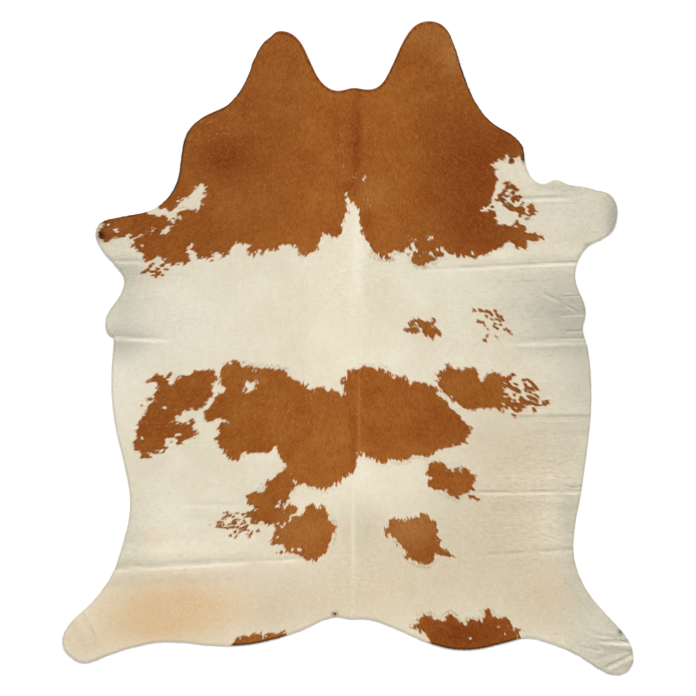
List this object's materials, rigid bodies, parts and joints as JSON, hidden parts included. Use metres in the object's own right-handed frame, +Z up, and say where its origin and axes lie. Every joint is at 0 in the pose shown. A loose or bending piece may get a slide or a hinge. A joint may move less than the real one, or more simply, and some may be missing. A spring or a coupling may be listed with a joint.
{
  "type": "cowhide rug",
  "caption": "Whole cowhide floor rug lying flat: one tanned skin with short brown and cream hair, in the animal's outline with neck flaps, legs and rump.",
  "frame": {"origin": "on the floor, under the middle of the rug's length and width", "axes": "+X across the rug to the right, +Y along the backbone towards the neck, +Z up out of the hair side"},
  "size_m": [1.9142, 2.194, 0.0125],
  "materials": {
    "hair_coat": "short dense hair lying flat, brown patches on cream, dry with a soft sheen",
    "raw_leather": "matt suede underside and cut edge of the tanned skin"
  },
  "bodies": {
    "root": {"cowhide": "hair_coat"}
  },
  "joints": []
}
